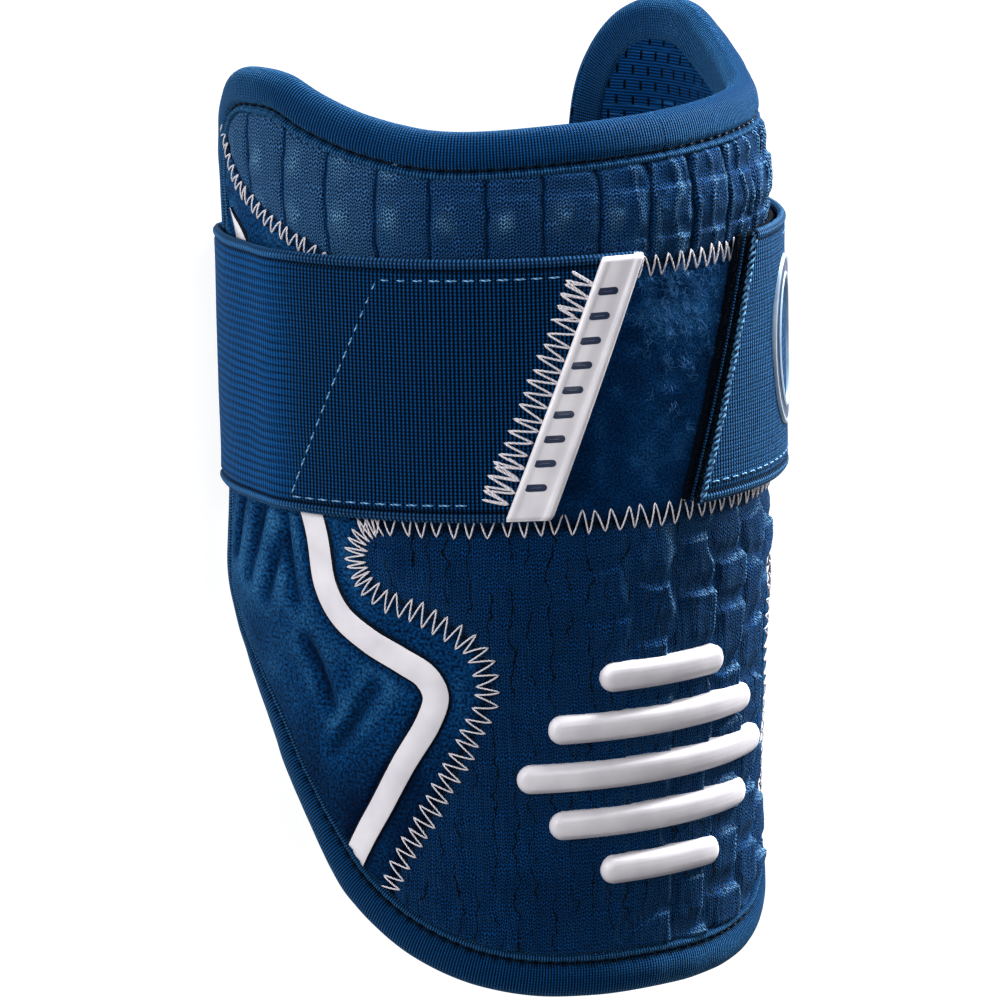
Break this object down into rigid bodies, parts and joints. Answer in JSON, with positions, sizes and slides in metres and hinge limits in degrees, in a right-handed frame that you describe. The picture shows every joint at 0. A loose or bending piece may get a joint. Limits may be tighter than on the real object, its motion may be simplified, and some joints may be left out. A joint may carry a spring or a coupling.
{
  "type": "baseball elbow guard",
  "caption": "Padded half sleeve that covers the front of the elbow and forearm, with a bound edge, raised lobes, a long lower tongue and a wide elastic strap round the back.",
  "frame": {"origin": "centre of the overall box, on the floor under the straight back run of the strap", "axes": "+Y along the arm towards the raised lobes, +Z towards the front of the elbow, +X towards the picture's right"},
  "size_m": [0.1282, 0.2071, 0.1018],
  "materials": {
    "lining_mesh": "perforated knit lining with a fine crosswise rib",
    "front_knit": "fine matt knit embossed with rounded scales",
    "loop_pile": "short fuzzy loop pile",
    "brushed_fabric": "softly brushed fabric with pressed grooves",
    "white_print": "smooth satin bonded stripe with a thin dark edge",
    "binding_knit": "fine ribbed knit binding, rolled over the edge and stitched",
    "elastic_webbing": "ribbed woven elastic with a stitched edge",
    "hook_tape": "dark bristly hook tape",
    "moulded_white": "satin moulded rubber with bevelled sides",
    "moulded_navy": "satin moulded rubber with light edges"
  },
  "bodies": {
    "root": {"lining": "lining_mesh", "upper_front_pad": "front_knit", "lower_front_pad": "front_knit", "loop_panel": "loop_pile", "side_pad_left": "brushed_fabric", "side_pad_right": "brushed_fabric", "side_stripe_left": "white_print", "side_stripe_right": "white_print", "edge_binding": "binding_knit", "strap": "elastic_webbing", "hook_tape_left": "hook_tape", "hook_tape_right": "hook_tape", "pull_tab": "moulded_white", "emblem_bar_1": "moulded_white", "emblem_bar_2": "moulded_white", "emblem_bar_3": "moulded_white", "emblem_bar_4": "moulded_white", "emblem_bar_5": "moulded_white", "strap_badge": "moulded_navy"}
  },
  "joints": []
}
